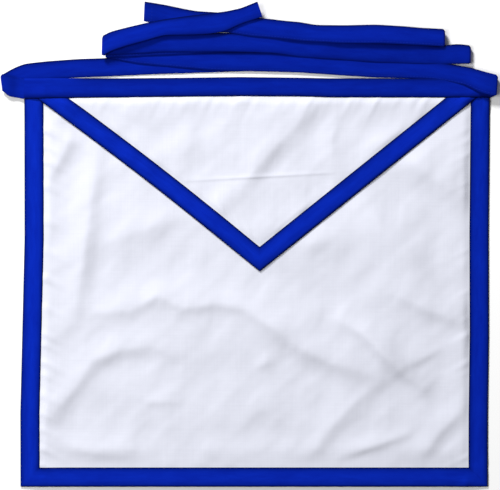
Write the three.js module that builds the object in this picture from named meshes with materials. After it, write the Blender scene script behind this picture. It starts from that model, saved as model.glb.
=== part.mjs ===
// A white cotton apron with a pointed flap, laid flat on a table.
// Royal blue tape binds its edges and its flap, holds its top edge as a waistband,
// and runs on from both ends of the waistband as two ties, each folded back and forth above it.
// +X is to the right, +Y towards the waist and +Z up from the table. All sizes are in millimetres.
import * as THREE from 'three';

// Driving dimensions
const apronWidth = 406;
const apronHeight = 356;
const apronLean = 3; // how far left of the top edge the bottom edge lies
const clothThickness = 1;
const clothGap = 0.3; // between two layers of cloth, and between two ends that meet
const tapeWidth = 16;
const flapDepth = 168.5; // from the apron's top edge down to the flap's point
const flapPointShift = 2.2; // how far right of the middle the flap's point lies
const flapLeftInset = 7.1; // from the apron's side to the flap, level with the waistband's lower edge
const flapRightInset = 14.2;
const seamMargin = 1; // how far past a binding's width the cloth still lies as high as inside it
const rampLength = 33; // over which the panel comes down from inside its binding to the table
const flapSettling = 22; // over which the flap comes down from inside its binding to the panel
const wrinkleHeight = 2;
const wrinkleWidth = 9;
const panelCells = { across: 34, up: 31 };
const flapCells = { across: 26, up: 14 };
const edgeCells = { side: 13, bottom: 16, flap: 14, waist: 30 };
const cotton = new THREE.Color('#eceef5');
const royalBlue = new THREE.Color('#0a2ba8');

// Layers lie one pitch apart, and layer 0 lies on the table
const pitch = clothThickness + clothGap;
const layerHeight = (layer) => clothThickness / 2 + layer * pitch;
const bindingFold = pitch + clothThickness / 2; // outer radius of a binding round one cloth
const waistFold = 1.5 * pitch + clothThickness / 2; // the same round panel and flap
const waistLower = apronHeight - tapeWidth - clothGap; // where the other tapes end below the waistband

// The apron's sides, and the outer edges of the flap
const sideX = (side, y) => side * apronWidth / 2 - apronLean * (1 - y / apronHeight);
const flapPoint = new THREE.Vector2(flapPointShift, apronHeight - flapDepth);
const flapCorner = {
  left: new THREE.Vector2(sideX(-1, waistLower) + flapLeftInset, waistLower),
  right: new THREE.Vector2(sideX(1, waistLower) - flapRightInset, waistLower),
};
const flapSlope = {
  left: Math.atan2(waistLower - flapPoint.y, flapPoint.x - flapCorner.left.x),
  right: Math.atan2(waistLower - flapPoint.y, flapCorner.right.x - flapPoint.x),
};

// How far inside the flap's outer edges a point lies
function insideFlap(x, y) {
  const rise = y - flapPoint.y;
  const run = x - flapPoint.x;
  const fromLeft = rise * Math.cos(flapSlope.left) + run * Math.sin(flapSlope.left);
  const fromRight = rise * Math.cos(flapSlope.right) - run * Math.sin(flapSlope.right);
  return Math.min(fromLeft, fromRight);
}

// Soft ridges in the panel and in the flap, each a straight stretch of one.
// Places are shares of the apron's width, from its middle, and of its height, from its bottom edge;
// height and width are shares of wrinkleHeight and wrinkleWidth.
const ridgeColumns = ['x1', 'y1', 'x2', 'y2', 'height', 'width'];
const panelRidges = [
  [-0.33, 0.78, -0.38, 0.47, 0.8, 1.2],
  [-0.38, 0.47, -0.39, 0.39, 0.8, 1.0],
  [-0.34, 0.42, -0.21, 0.46, 0.7, 0.9],
  [-0.21, 0.46, -0.01, 0.41, 0.7, 0.9],
  [-0.01, 0.41, 0.13, 0.29, 0.8, 1.0],
  [0.13, 0.29, 0.28, 0.26, 0.9, 1.0],
  [-0.44, 0.15, -0.35, 0.28, 0.9, 1.1],
  [-0.35, 0.28, -0.25, 0.33, 0.8, 1.0],
  [-0.25, 0.33, -0.16, 0.31, 0.5, 1.0],
  [0.20, 0.38, 0.30, 0.29, 0.9, 1.1],
  [0.30, 0.29, 0.36, 0.23, 0.8, 1.0],
  [0.12, 0.06, 0.28, 0.25, 1.0, 1.2],
  [0.17, 0.05, 0.38, 0.15, 0.9, 1.1],
  [0.36, 0.06, 0.45, 0.19, 1.2, 1.3],
  [0.31, 0.44, 0.45, 0.37, 0.7, 1.0],
  [0.31, 0.77, 0.45, 0.68, 0.7, 1.1],
];
const flapRidges = [
  [-0.12, 0.74, -0.01, 0.75, 0.5, 0.8],
  [-0.01, 0.75, 0.17, 0.76, 0.5, 0.8],
  [0.05, 0.83, -0.07, 0.67, 0.5, 1.0],
  [0.18, 0.89, 0.18, 0.77, 0.4, 1.0],
  [0.14, 0.94, 0.09, 0.88, 0.4, 1.0],
];

function asObject(columns, row) {
  return Object.fromEntries(columns.map((name, k) => [name, row[k]]));
}

function ridgeHeight(ridges, x, y) {
  let height = 0;
  for (const row of ridges) {
    const ridge = asObject(ridgeColumns, row);
    const start = new THREE.Vector3(ridge.x1 * apronWidth, ridge.y1 * apronHeight, 0);
    const end = new THREE.Vector3(ridge.x2 * apronWidth, ridge.y2 * apronHeight, 0);
    const point = new THREE.Vector3(x, y, 0);
    const nearest = new THREE.Line3(start, end).closestPointToPoint(point, true, new THREE.Vector3());
    const away = point.distanceTo(nearest) / (ridge.width * wrinkleWidth);
    height = Math.max(height, ridge.height * wrinkleHeight * Math.exp(-away * away));
  }
  return height;
}

// The top left corner lies over the left tie. It is raised by one layer down to so many tape widths
// below the top edge, and as far right as this share of the apron's width from its middle.
const cornerLift = { fullDown: 0.4, goneDown: 3, fullRight: -0.385, goneRight: -0.26 };

// The panel has no ridges beside the flap: how far off it they fade, in tape widths
const ridgeFade = { none: 0.3, full: 1.5 };

// Height of the panel's middle surface. It lies on the table in the middle, one layer up inside
// the bindings, and one layer more at the raised corner.
function panelHeight(x, y) {
  const { smoothstep } = THREE.MathUtils;
  const rampStart = tapeWidth + seamMargin;
  const ramp = (inset) => smoothstep(inset, rampStart, rampStart + rampLength);
  const open = ramp(x - sideX(-1, y)) * ramp(sideX(1, y) - x) * ramp(y) * ramp(apronHeight - y);
  const down = (apronHeight - y) / tapeWidth;
  const right = x / apronWidth;
  const overTie = (1 - smoothstep(down, cornerLift.fullDown, cornerLift.goneDown))
    * (1 - smoothstep(right, cornerLift.fullRight, cornerLift.goneRight));
  const offFlap = smoothstep(-insideFlap(x, y) / tapeWidth, ridgeFade.none, ridgeFade.full);
  return layerHeight(1 - open + overTie) + ridgeHeight(panelRidges, x, y) * open * offFlap;
}

// Height of the flap's middle surface: two layers over the panel where its binding passes between
// them, and one layer over it further in
function flapHeight(x, y) {
  const { smoothstep } = THREE.MathUtils;
  const settleStart = tapeWidth + seamMargin;
  const inner = smoothstep(insideFlap(x, y), settleStart, settleStart + flapSettling);
  const belowWaist = 1 - smoothstep(y, waistLower - tapeWidth, waistLower);
  return panelHeight(x, y) + (2 - inner) * pitch + ridgeHeight(flapRidges, x, y) * inner * belowWaist;
}

// A flat-cut piece of cloth, laid so that its middle surface passes through a grid of points
function layCloth(grid) {
  const lastRow = grid.length - 1;
  const lastColumn = grid[0].length - 1;
  const geometry = new THREE.BoxGeometry(1, 1, 1, lastRow, lastColumn, 1);
  const corner = geometry.attributes.position;
  for (let k = 0; k < corner.count; k++) {
    const row = Math.round((corner.getX(k) + 0.5) * lastRow);
    const column = Math.round((corner.getY(k) + 0.5) * lastColumn);
    const along = grid[Math.min(row + 1, lastRow)][column].clone().sub(grid[Math.max(row - 1, 0)][column]);
    const across = grid[row][Math.min(column + 1, lastColumn)].clone()
      .sub(grid[row][Math.max(column - 1, 0)]);
    const outward = along.cross(across).normalize();
    const point = grid[row][column].clone().addScaledVector(outward, corner.getZ(k) * clothThickness);
    corner.setXYZ(k, point.x, point.y, point.z);
  }
  geometry.computeVertexNormals();
  return geometry;
}

function clothMesh(name, grid, colour) {
  const material = new THREE.MeshStandardMaterial({ color: colour, roughness: 0.9, metalness: 0 });
  const mesh = new THREE.Mesh(layCloth(grid), material);
  mesh.name = name;
  return mesh;
}

function makeGrid(cells, pointAt) {
  return Array.from({ length: cells.across + 1 }, (_, row) =>
    Array.from({ length: cells.up + 1 }, (__, column) => pointAt(row / cells.across, column / cells.up)));
}

// The panel's edges lie in the folds of its bindings
function bodyPanel() {
  const grid = makeGrid(panelCells, (u, v) => {
    const y = THREE.MathUtils.lerp(bindingFold, apronHeight - waistFold, v);
    const x = THREE.MathUtils.lerp(sideX(-1, y) + bindingFold, sideX(1, y) - bindingFold, u);
    return new THREE.Vector3(x, y, panelHeight(x, y));
  });
  return clothMesh('body_panel', grid, cotton);
}

// The flap's edges lie in the fold of its own binding, and its point is cut blunt inside it
function flapPanel() {
  const bluntWidth = tapeWidth / 5;
  const spread = 1 / Math.tan(flapSlope.left) + 1 / Math.tan(flapSlope.right);
  const foldSpread = bindingFold / Math.sin(flapSlope.left) + bindingFold / Math.sin(flapSlope.right);
  const lowest = flapPoint.y + (bluntWidth + foldSpread) / spread;
  const grid = makeGrid(flapCells, (u, v) => {
    const y = THREE.MathUtils.lerp(lowest, apronHeight - waistFold, v);
    const rise = y - flapPoint.y;
    const reach = (slope) => (rise * Math.cos(slope) - bindingFold) / Math.sin(slope);
    const left = Math.max(flapPoint.x - reach(flapSlope.left), sideX(-1, y) + bindingFold);
    const right = Math.min(flapPoint.x + reach(flapSlope.right), sideX(1, y) - bindingFold);
    const x = THREE.MathUtils.lerp(left, right, u);
    return new THREE.Vector3(x, y, flapHeight(x, y));
  });
  return clothMesh('flap_panel', grid, cotton);
}

// Stations along the outer edge of a binding: where each is, which way the tape runs there,
// which way is inward, mitred at a corner, and how far it is from both ends
function edgeStations(corners, steps) {
  const legs = corners.slice(1).map((corner, k) => corner.clone().sub(corners[k]));
  const inwards = legs.map((leg) => new THREE.Vector2(-leg.y, leg.x).normalize());
  const total = legs.reduce((sum, leg) => sum + leg.length(), 0);
  const stations = [];
  let passed = 0;
  legs.forEach((leg, k) => {
    const last = k === legs.length - 1 ? steps[k] : steps[k] - 1;
    for (let step = 0; step <= last; step++) {
      const share = step / steps[k];
      const inward = inwards[k].clone();
      if (step === 0 && k > 0) {
        inward.add(inwards[k - 1]).divideScalar(1 + inwards[k].dot(inwards[k - 1]));
      }
      const fromStart = passed + share * leg.length();
      stations.push({
        point: corners[k].clone().addScaledVector(leg, share),
        along: leg.clone().normalize(),
        inward,
        fromStart,
        fromEnd: total - fromStart,
      });
    }
    passed += leg.length();
  });
  return stations;
}

// Tape folded lengthwise round an edge: a front leg on top, the fold along the edge and a back leg
// below. The shape holds the fold's radius, the heights of both legs and how much is cut off each end.
function foldedTape(name, stations, shape) {
  const legInsets = [1, 0.7, 0.4].map((share) => share * tapeWidth);
  const turns = [0, 0.25, 0.5, 0.75, 1].map((share) => share * Math.PI);
  const section = [
    ...legInsets.map((inset) => ({ inset, turn: 0 })),
    ...turns.map((turn) => {
      return { inset: shape.fold - (shape.fold - clothThickness / 2) * Math.sin(turn), turn };
    }),
    ...[...legInsets].reverse().map((inset) => ({ inset, turn: Math.PI })),
  ];
  const cutLength = 3 * tapeWidth; // over which a slanted end straightens out along the tape
  const grid = stations.map((station) => section.map(({ inset, turn }) => {
    const front = turn < Math.PI / 2;
    const atStart = shape.cutStart(inset, front) * Math.max(0, 1 - station.fromStart / cutLength);
    const atEnd = shape.cutEnd(inset, front) * Math.max(0, 1 - station.fromEnd / cutLength);
    const flat = station.point.clone()
      .addScaledVector(station.inward, inset)
      .addScaledVector(station.along, atStart - atEnd);
    const upper = shape.upper(flat.x, flat.y);
    const lower = shape.lower(flat.x, flat.y);
    const z = (upper + lower) / 2 + (upper - lower) / 2 * Math.cos(turn);
    return new THREE.Vector3(flat.x, flat.y, z);
  }));
  return clothMesh(name, grid, royalBlue);
}

// One length of tape round the left, bottom and right edges, mitred at both corners.
// Its upper ends are cut on the slant where the flap comes down beside them.
function edgeBinding() {
  const corners = [
    new THREE.Vector2(sideX(-1, waistLower), waistLower),
    new THREE.Vector2(sideX(-1, 0), 0),
    new THREE.Vector2(sideX(1, 0), 0),
    new THREE.Vector2(sideX(1, waistLower), waistLower),
  ];
  const besideFlap = (flapInset, slope) => (inset, front) => {
    const under = inset - flapInset + clothGap / Math.sin(slope);
    return front ? Math.max(0, under) * Math.tan(slope) : 0;
  };
  const stations = edgeStations(corners, [edgeCells.side, edgeCells.bottom, edgeCells.side]);
  return foldedTape('edge_binding', stations, {
    fold: bindingFold,
    upper: (x, y) => panelHeight(x, y) + pitch,
    lower: (x, y) => panelHeight(x, y) - pitch,
    cutStart: besideFlap(flapLeftInset, flapSlope.left),
    cutEnd: besideFlap(flapRightInset, flapSlope.right),
  });
}

// One length of tape round the flap's two free edges, mitred at the point, with both ends
// cut level below the waistband
function flapBinding() {
  const levelEnd = (slope) => (inset) => inset / Math.tan(slope);
  const stations = edgeStations([flapCorner.left, flapPoint, flapCorner.right],
    [edgeCells.flap, edgeCells.flap]);
  return foldedTape('flap_binding', stations, {
    fold: bindingFold,
    upper: (x, y) => flapHeight(x, y) + pitch,
    lower: (x, y) => flapHeight(x, y) - pitch,
    cutStart: levelEnd(flapSlope.left),
    cutEnd: levelEnd(flapSlope.right),
  });
}

// Tape folded over the top edges of panel and flap
function waistband() {
  const corners = [
    new THREE.Vector2(sideX(1, apronHeight), apronHeight),
    new THREE.Vector2(sideX(-1, apronHeight), apronHeight),
  ];
  const uncut = () => 0;
  return foldedTape('waistband', edgeStations(corners, [edgeCells.waist]), {
    fold: waistFold,
    upper: (x, y) => flapHeight(x, y) + pitch,
    lower: (x, y) => panelHeight(x, y) - pitch,
    cutStart: uncut,
    cutEnd: uncut,
  });
}

// Each tie leaves the waistband's end and is folded at three places, which gives three runs.
// x is the near edge's place, as a share of the apron's width from its middle. The other lengths are
// shares of the tape's width: rise lifts the near edge over the apron's top edge, span leads from the
// near edge to the far one, and lean is how much further right the far edge ends. layer is the near
// edge's layer, and tip is how many layers higher the far edge lies.
const runColumns = ['x', 'lean', 'rise', 'span', 'layer', 'tip'];
const leftRuns = [
  [
    [-0.517, 0, -1.01, 1.07, 1.9, 0],
    [-0.531, 0, -1.02, 1.14, 1, 0],
    [-0.540, -0.04, -0.98, 1.15, 1, 0],
    [-0.545, -0.08, -0.74, 0.94, 1, 0],
  ],
  [
    [-0.545, -0.08, -0.74, 0.94, 0, 0],
    [-0.527, 0, -0.53, 1.05, 0, 0],
    [-0.5025, 0, -0.26, 1.04, 0, 0],
    [-0.458, 0, -0.09, 1.00, 0, 0],
    [-0.389, 0, 0.04, 1.00, 0, 0],
    [-0.330, 0, 0.09, 1.00, 0, 0],
    [-0.232, 0, 0.21, 1.00, 0, 0],
    [-0.064, 0, 0.35, 1.00, 0, 0],
    [0.091, 0, 0.48, 1.00, 0, 0],
    [0.259, 0, 0.64, 1.00, 0, 0],
    [0.402, 0, 0.79, 1.00, 0, 0],
    [0.445, 0.15, 0.76, 1.02, 0, 0],
  ],
  [
    [0.445, 0.15, 0.76, 1.02, 3, 0],
    [0.416, 0, 0.86, 0.83, 3, 0],
    [0.387, 0, 0.91, 0.78, 3, 0],
    [0.345, 0, 0.93, 0.94, 3, 0],
    [0.259, 0, 0.99, 0.94, 3, 0],
    [0.091, 0, 1.27, 0.95, 3, 0],
    [0.032, 0, 1.50, 0.95, 3, 0],
    [-0.064, 0, 1.48, 0.97, 3, 0],
    [-0.209, 0, 1.42, 0.97, 3, 0],
    [-0.330, -0.03, 1.22, 1.07, 3, 0],
  ],
  [
    [-0.330, -0.03, 1.22, 1.07, 5, 0],
    [-0.318, 0, 1.42, 1.07, 5, 0],
    [-0.278, 0, 1.75, 1.00, 5, 0],
    [-0.241, 0, 2.00, 0.97, 5, 0],
    [-0.200, 0, 2.31, 0.86, 5, 0],
    [-0.145, 0, 2.44, 0.92, 5, 0],
    [-0.102, 0, 2.54, 0.95, 5, 0],
    [-0.069, 0, 2.65, 0.94, 5, 0],
    [-0.037, 0, 2.92, 0.84, 5, 0],
    [0.010, -0.27, 3.31, 0.82, 5, 0],
  ],
];
const rightRuns = [
  [
    [0.509, 0.09, -0.79, 0.93, 2, 0],
  ],
  [
    [0.509, 0.09, -0.79, 0.93, 5.1, 0],
    [0.496, 0, -0.72, 0.98, 5.1, 0],
    [0.479, 0, -0.61, 0.98, 5.3, -0.5],
    [0.463, 0, -0.51, 0.99, 5.5, -1.2],
    [0.448, 0, -0.41, 0.99, 5.6, -2.2],
    [0.425, 0, -0.28, 0.97, 5.6, -3.0],
    [0.394, 0, -0.08, 0.95, 4.9, -3.1],
    [0.370, 0, 0.03, 0.95, 3.4, -2.1],
    [0.345, 0, 0.04, 0.97, 1.6, -0.5],
    [0.320, 0, 0.05, 1.00, 1, 0],
    [0.259, 0, 0.05, 1.00, 1, 0],
    [0.188, 0, 0.15, 1.00, 1, 0],
    [0.091, 0, 0.31, 1.00, 1, 0],
    [0.027, 0, 0.36, 1.00, 1, 0],
    [-0.064, 0, 0.40, 1.00, 1, 0],
    [-0.113, 0, 0.45, 1.00, 1, 0],
    [-0.254, 0, 0.78, 1.00, 1, 0],
    [-0.324, 0, 1.10, 1.00, 1, 0],
  ],
  [
    [-0.324, 0, 1.10, 1.00, 2, 0],
    [-0.209, 0, 1.25, 1.00, 2, 0],
    [-0.064, 0, 1.40, 0.99, 2, 0],
    [0.091, 0, 1.55, 0.99, 2, 0],
    [0.246, 0, 1.64, 0.97, 2, 0],
    [0.398, 0, 1.72, 0.93, 2, 0],
  ],
  [
    [0.398, 0, 1.72, 0.93, 4, 0],
    [0.350, 0, 1.78, 0.93, 4.4, 0],
    [0.318, 0, 1.82, 0.99, 5.2, 0],
    [0.285, 0, 1.87, 1.00, 5.8, 0],
    [0.253, 0, 1.89, 1.03, 6, 0],
    [0.188, 0, 1.89, 0.98, 6, 0],
    [0.124, 0, 1.95, 0.92, 5.2, 0],
    [0.091, 0, 1.99, 1.04, 4.5, 0],
    [0.059, 0, 2.10, 0.99, 4, 0],
    [0.027, 0, 2.18, 1.02, 4, 0],
    [-0.016, 0, 2.27, 1.04, 4, 0],
    [-0.070, 0, 2.49, 1.04, 4, 0],
    [-0.135, 0, 2.62, 1.01, 4, 0],
    [-0.167, 0, 2.75, 1.04, 4, 0],
    [-0.199, 0, 2.89, 1.07, 4, 0],
    [-0.244, 0.06, 3.09, 1.04, 4, 0],
  ],
];

function runEdges(row) {
  const run = asObject(runColumns, row);
  const near = new THREE.Vector3(
    run.x * apronWidth,
    apronHeight + run.rise * tapeWidth,
    layerHeight(run.layer),
  );
  const toFar = new THREE.Vector3(run.lean * tapeWidth, run.span * tapeWidth, run.tip * pitch);
  return { near, far: near.clone().add(toFar) };
}

// A fold in a tie: both edges turn half a circle about the fold line, out to one side
function turnOver(from, to, side) {
  const steps = 6;
  const fold = [];
  for (let step = 1; step < steps; step++) {
    const angle = Math.PI * step / steps;
    const turned = {};
    const foldLine = from.far.clone().sub(from.near).setZ(0).normalize();
    const out = new THREE.Vector3(foldLine.y, -foldLine.x, 0).multiplyScalar(side);
    for (const edge of ['near', 'far']) {
      const radius = Math.abs(to[edge].z - from[edge].z) / 2;
      turned[edge] = from[edge].clone().lerp(to[edge], (1 - Math.cos(angle)) / 2)
        .addScaledVector(out, radius * Math.sin(angle));
    }
    fold.push(turned);
  }
  return fold;
}

// The first stretch starts at the waistband's end, halfway between its front and its back.
// Folds lie by turns on the tie's own side and on the other side.
function tie(name, side, runs) {
  const endX = sideX(side, apronHeight) + side * clothGap;
  const insideEnd = sideX(side, apronHeight);
  const rootHeight = (y) => {
    const upper = flapHeight(insideEnd, y) + pitch;
    const lower = panelHeight(insideEnd, y) - pitch;
    return (upper + lower) / 2;
  };
  const rootAt = (y) => new THREE.Vector3(endX, y, rootHeight(y));
  const stations = [{ near: rootAt(apronHeight - tapeWidth), far: rootAt(apronHeight) }];
  runs.forEach((rows, k) => {
    const edges = rows.map(runEdges);
    if (k > 0) {
      const foldSide = k % 2 === 1 ? side : -side;
      stations.push(...turnOver(stations[stations.length - 1], edges[0], foldSide));
    }
    stations.push(...edges);
  });
  const across = 2;
  const grid = stations.map(({ near, far }) =>
    Array.from({ length: across + 1 }, (_, k) => near.clone().lerp(far, k / across)));
  return clothMesh(name, grid, royalBlue);
}

const apron = new THREE.Group();
apron.add(
  bodyPanel(),
  flapPanel(),
  edgeBinding(),
  flapBinding(),
  waistband(),
  tie('tie_left', -1, leftRuns),
  tie('tie_right', 1, rightRuns),
);

// The origin is on the table, under the middle of the whole
const extent = new THREE.Box3().setFromObject(apron);
const middle = extent.getCenter(new THREE.Vector3());
apron.position.set(-middle.x, -middle.y, -extent.min.z);

export default apron;
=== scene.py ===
import math

import bpy
import numpy as np
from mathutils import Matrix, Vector


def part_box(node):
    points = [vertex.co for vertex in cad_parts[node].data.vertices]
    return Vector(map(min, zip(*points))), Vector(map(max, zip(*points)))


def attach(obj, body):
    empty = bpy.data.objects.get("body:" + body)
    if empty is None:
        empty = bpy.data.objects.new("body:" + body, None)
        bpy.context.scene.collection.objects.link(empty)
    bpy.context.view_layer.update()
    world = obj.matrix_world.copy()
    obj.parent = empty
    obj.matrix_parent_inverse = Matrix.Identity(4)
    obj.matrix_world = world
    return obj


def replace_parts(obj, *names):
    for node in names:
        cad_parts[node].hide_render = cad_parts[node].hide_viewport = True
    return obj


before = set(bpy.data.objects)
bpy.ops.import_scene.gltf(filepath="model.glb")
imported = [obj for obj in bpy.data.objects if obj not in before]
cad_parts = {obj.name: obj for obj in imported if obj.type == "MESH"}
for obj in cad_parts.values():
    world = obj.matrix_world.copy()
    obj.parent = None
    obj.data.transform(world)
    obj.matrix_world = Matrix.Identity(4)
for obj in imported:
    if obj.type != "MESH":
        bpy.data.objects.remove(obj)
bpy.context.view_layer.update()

# The table is a smooth white board in a dim room. A soft lamp stands beyond the apron's top left
# corner and a large one hangs high on its left. The camera looks straight down, with the
# photograph's frame.
mm = 0.001
edge_low = np.array(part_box("edge_binding")[0])
waist_low, waist_high = [np.array(corner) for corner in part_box("waistband")]
apron_middle = (waist_low[0] + waist_high[0]) / 2
photo_width = 500
photo_height = 490
photo_pixel = 0.874 * mm
photo_middle = 257.5  # the apron's middle and its bottom edge, in the photograph's pixels
photo_bottom = 485.5


def node(tree, kind, inputs=None, **settings):
    new = tree.nodes.new(kind)
    for setting, value in settings.items():
        setattr(new, setting, value)
    for socket, value in (inputs or {}).items():
        if isinstance(value, bpy.types.NodeSocket):
            tree.links.new(value, new.inputs[socket])
        else:
            new.inputs[socket].default_value = value
    return new


def linear(colour):
    shares = [int(colour[k:k + 2], 16) / 255 for k in (1, 3, 5)]
    return [s / 12.92 if s <= 0.04045 else ((s + 0.055) / 1.055) ** 2.4 for s in shares] + [1]


table_mesh = bpy.data.meshes.new("table")
table_reach = 4
table_drop = 0.1 * mm
table_ways = ((-1, -1), (1, -1), (1, 1), (-1, 1))
table_corners = [(x * table_reach, y * table_reach, -table_drop) for x, y in table_ways]
table_mesh.from_pydata(table_corners, [], [(0, 1, 2, 3)])
table = bpy.data.objects.new("table", table_mesh)
bpy.context.collection.objects.link(table)

# White laminate board, matt, so it shows soft shadows and no gloss
laminate = bpy.data.materials.new("white_laminate")
laminate.use_nodes = True
laminate_shader = laminate.node_tree.nodes["Principled BSDF"]
laminate_shader.inputs["Base Color"].default_value = linear("#fcfcfc")
laminate_shader.inputs["Roughness"].default_value = 0.9
laminate_shader.inputs["Specular IOR Level"].default_value = 0.1
table_mesh.materials.append(laminate)

for name, place, diameter, watts in (
    ("far_lamp", Vector((-0.75, 1.65, 1.2)), 0.5, 51),
    ("high_lamp", Vector((-1.2, 0.0, 1.85)), 1.4, 27),
):
    lamp_data = bpy.data.lights.new(name, "AREA")
    lamp_data.shape = "DISK"
    lamp_data.size = diameter
    lamp_data.energy = watts
    lamp = bpy.data.objects.new(name, lamp_data)
    lamp.location = place
    lamp.rotation_euler = (-place).to_track_quat("-Z", "Y").to_euler()
    bpy.context.collection.objects.link(lamp)

room = bpy.data.worlds.new("dim_room")
room.use_nodes = True
room_light = room.node_tree.nodes["Background"]
room_light.inputs["Color"].default_value = linear("#ffffff")
room_light.inputs["Strength"].default_value = 0.15
bpy.context.scene.world = room
bpy.context.scene.view_settings.view_transform = "Standard"
bpy.context.scene.view_settings.look = "None"

camera_data = bpy.data.cameras.new("camera")
camera_height = 2.0
camera_data.sensor_width = 36
camera_data.lens = camera_data.sensor_width * camera_height / (photo_width * photo_pixel)
camera = bpy.data.objects.new("camera", camera_data)
camera.location = (
    apron_middle + (photo_width / 2 - photo_middle) * photo_pixel,
    edge_low[1] + (photo_bottom - photo_height / 2) * photo_pixel,
    camera_height,
)
bpy.context.collection.objects.link(camera)
bpy.context.scene.camera = camera

# The body is one piece of bleached plain-woven cotton, cut to a rectangle and laid on the table. The
# tape holds its bound edges a little higher than its middle, and shallow folds run across it.
# Lengths on the apron are in millimetres from here on, from the middle of its bottom edge.
tape_width = 16
binding_width = 16.7  # from the sewn edge to the fold, where the tape is bound round the cloth
tape_thickness = 0.55
cotton_thickness = 0.4
air = 0.06  # between layers that lie on each other
apron_width = (waist_high[0] - waist_low[0]) / mm
apron_height = (waist_high[1] - edge_low[1]) / mm
apron_bottom = -0.9
# The apron's sides, from the top down, as places in the photograph's pixels
left_side = [(24.4, 78), (24.6, 240), (22.3, 336), (20.4, 414), (20.7, 486)]
right_side = [(489.9, 78), (488.5, 232), (488.7, 336), (487.7, 414), (487.5, 486)]
panel_in_binding = tape_thickness + air + cotton_thickness / 2
panel_on_table = cotton_thickness / 2
edge_tilt = 1.2  # how much higher the side tapes' inner edges lie than their folds
ramp_length = 33
tie_pitch = 1.3  # from one run of a tie to the next one above it


def smooth(value, start, end):
    share = np.clip((value - start) / (end - start), 0, 1)
    return share * share * (3 - 2 * share)


def waves(x, y, length, seed):
    """An even, seeded unevenness from -1 to 1, with swells of about that length."""
    chance = np.random.default_rng(seed)
    count = 9
    full_turn = 6.28
    turns = chance.uniform(0, full_turn, count)
    phases = chance.uniform(0, full_turn, count)
    stretches = chance.uniform(0.7, 1.6, count)
    total = np.zeros(np.broadcast(x, y).shape)
    for turn, phase, stretch in zip(turns, phases, stretches):
        distance = x * math.cos(turn) + y * math.sin(turn)
        total = total + np.sin(full_turn * distance / (length * stretch) + phase)
    return np.tanh(total / count ** 0.5)


def from_photo(column, row):
    """A pixel's place on the apron."""
    scale = photo_pixel / mm
    return np.array([(column - photo_middle) * scale, (photo_bottom - row) * scale])


def side_x(side, y):
    """Where the apron's left side, -1, or its right side, 1, is at a height."""
    traced = np.array([from_photo(*pixel) for pixel in (left_side if side < 0 else right_side)][::-1])
    return np.interp(y, traced[:, 1], traced[:, 0])


crest_start = 0.12  # a crest rises and falls like this part of half a wave
crest_stretch = 0.76
fold_lean = 0.35
fold_roundness = 1.7


def crest_height(folds, x, y):
    """The height of soft folds. Each has its height, its half width, and its crest as pixels of the
    photograph. A fold falls off faster on its right, as seen along the crest."""
    height = np.zeros(x.shape)
    for rise, half_width, crest in folds:
        points = np.array([from_photo(*pixel) for pixel in crest])
        steps = np.diff(points, axis=0)
        lengths = np.linalg.norm(steps, axis=1)
        passed = np.cumsum(lengths) - lengths
        fold = np.zeros(x.shape)
        for start, step, length, before in zip(points, steps, lengths, passed):
            share = np.clip(((x - start[0]) * step[0] + (y - start[1]) * step[1]) / length ** 2, 0, 1)
            off_x = x - start[0] - share * step[0]
            off_y = y - start[1] - share * step[1]
            away = np.hypot(off_x, off_y) + 1e-6
            leftward = (off_y * step[0] - off_x * step[1]) / (length * away)
            along = (before + share * length) / lengths.sum()
            taper = np.sin(math.pi * (crest_start + crest_stretch * along))
            off_crest = away / half_width / (1 + fold_lean * leftward)
            fold = np.maximum(fold, taper * np.exp(-off_crest ** fold_roundness))
        height = height + rise * fold
    return height


# Each fold's height, its half width and its crest, as places in the photograph's pixels
panel_folds = [
    (3.8, 14, [(73, 322), (82, 266), (91, 203), (97, 150)]),
    (2.6, 11, [(46, 186), (60, 160), (74, 130)]),
    (2.3, 10, [(96, 312), (130, 310), (158, 295), (183, 308), (214, 303), (244, 308), (273, 327)]),
    (4.4, 15, [(246, 305), (297, 345), (330, 361), (370, 374)]),
    (3.0, 13, [(49, 417), (73, 390), (93, 360), (120, 349), (151, 346), (172, 352)]),
    (5.4, 11, [(345, 322), (364, 333), (380, 350), (398, 368), (420, 386)]),
    (1.1, 6, [(407, 366), (436, 351)]),
    (1.8, 11, [(309, 455), (328, 430), (355, 400), (380, 381)]),
    (1.7, 6, [(337, 459), (367, 448), (406, 434)]),
    (2.1, 10, [(422, 456), (438, 434), (461, 409)]),
    (3.8, 14, [(396, 294), (430, 310), (466, 322)]),
    (3.4, 18, [(438, 296), (412, 261), (382, 228), (360, 196)]),
    (3.8, 18, [(394, 148), (430, 174), (466, 198)]),
    (1.5, 14, [(106, 241), (146, 228), (183, 214)]),
    (0.9, 7, [(255, 367), (275, 359)]),
    (0.8, 6, [(143, 402), (177, 401)]),
    (1.8, 12, [(45, 436), (83, 450), (140, 459)]),
    (1.3, 13, [(285, 246), (300, 243), (330, 240)]),
    (1.5, 17, [(250, 400), (290, 425), (305, 440)]),
    (1.5, 20, [(120, 390), (160, 400), (180, 440)]),
]
flap_low = np.array(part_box("flap_binding")[0])
flap_point = np.array([2.0, (flap_low[1] - edge_low[1]) / mm - 0.5])
waist_lower = apron_height - tape_width - 0.3
flap_left_inset = 9.3  # from the apron's side to the flap's corner at the waistband
flap_right_inset = 10.6
flap_left = np.array([side_x(-1, waist_lower) + flap_left_inset, waist_lower])
flap_right = np.array([side_x(1, waist_lower) - flap_right_inset, waist_lower])
left_slope = math.atan2(flap_left[1] - flap_point[1], flap_point[0] - flap_left[0])
right_slope = math.atan2(flap_right[1] - flap_point[1], flap_right[0] - flap_point[0])
bow_depth = 1.8


def left_bow(y):
    """How far the flap's left edge bows inwards."""
    share = np.clip((y - flap_point[1]) / (flap_left[1] - flap_point[1]), 0, 1)
    return bow_depth * np.sin(math.pi * share) ** 1.3


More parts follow.
